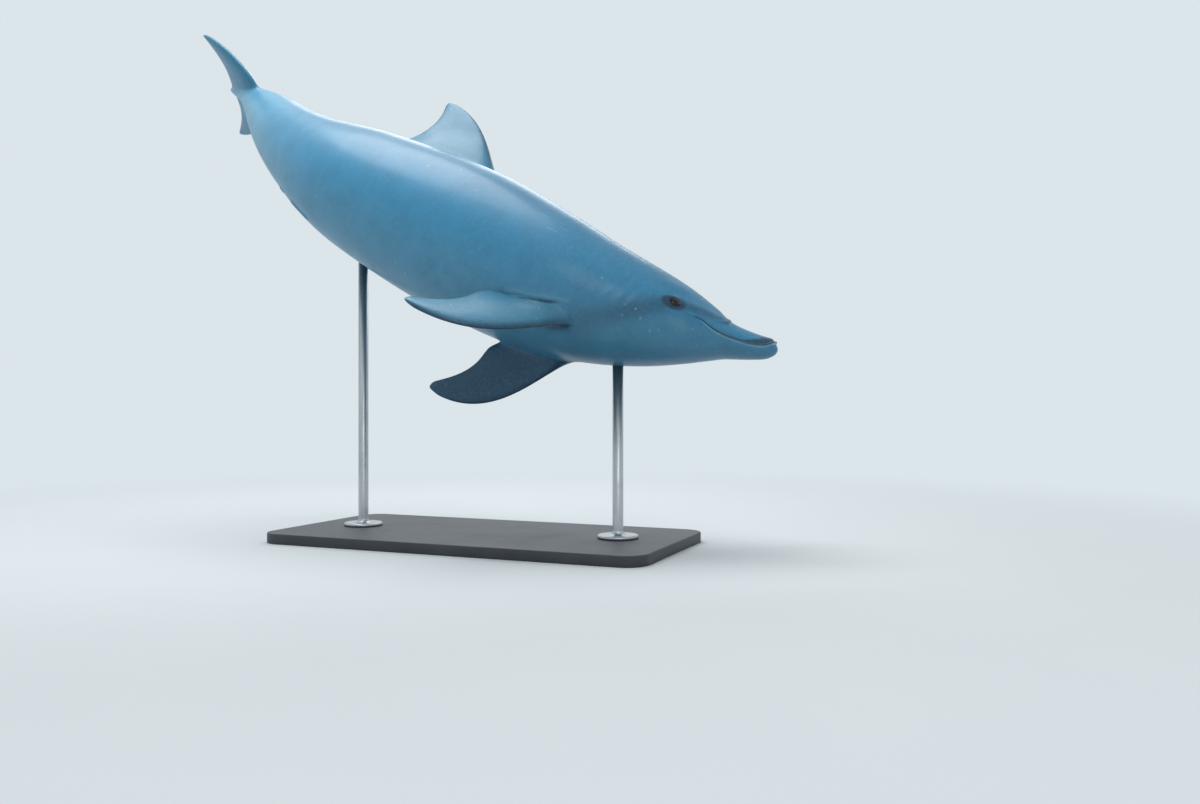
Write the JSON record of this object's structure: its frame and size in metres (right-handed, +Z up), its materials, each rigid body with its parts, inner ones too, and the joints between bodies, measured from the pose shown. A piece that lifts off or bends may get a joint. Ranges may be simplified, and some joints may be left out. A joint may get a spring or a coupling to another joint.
{
  "type": "bottlenose dolphin model",
  "caption": "Life-size bottlenose dolphin gliding nose down with its mouth shut, held on steel rods over a flat base.",
  "frame": {"origin": "middle of the underside of the display base, half way between the feet of the two rods", "axes": "+X is the way the middle of the body heads, seen from above, +Z is up, and the animal's left side is towards +Y"},
  "size_m": [2.1541, 0.9048, 1.7418],
  "materials": {
    "skin": "smooth wet skin, slate blue-grey on the back and paler below",
    "eye": "dark, clear and wet",
    "base_paint": "satin dark grey",
    "stand_steel": "brushed along the rods"
  },
  "bodies": {
    "root": {"head": "skin", "upper_beak": "skin", "lower_jaw": "skin", "trunk": "skin", "tail_stock": "skin", "dorsal_fin": "skin", "left_flipper": "skin", "right_flipper": "skin", "left_fluke": "skin", "right_fluke": "skin", "left_eye": "eye", "right_eye": "eye", "stand_base": "base_paint", "stand_rod_front": "stand_steel", "stand_rod_rear": "stand_steel"}
  },
  "joints": []
}
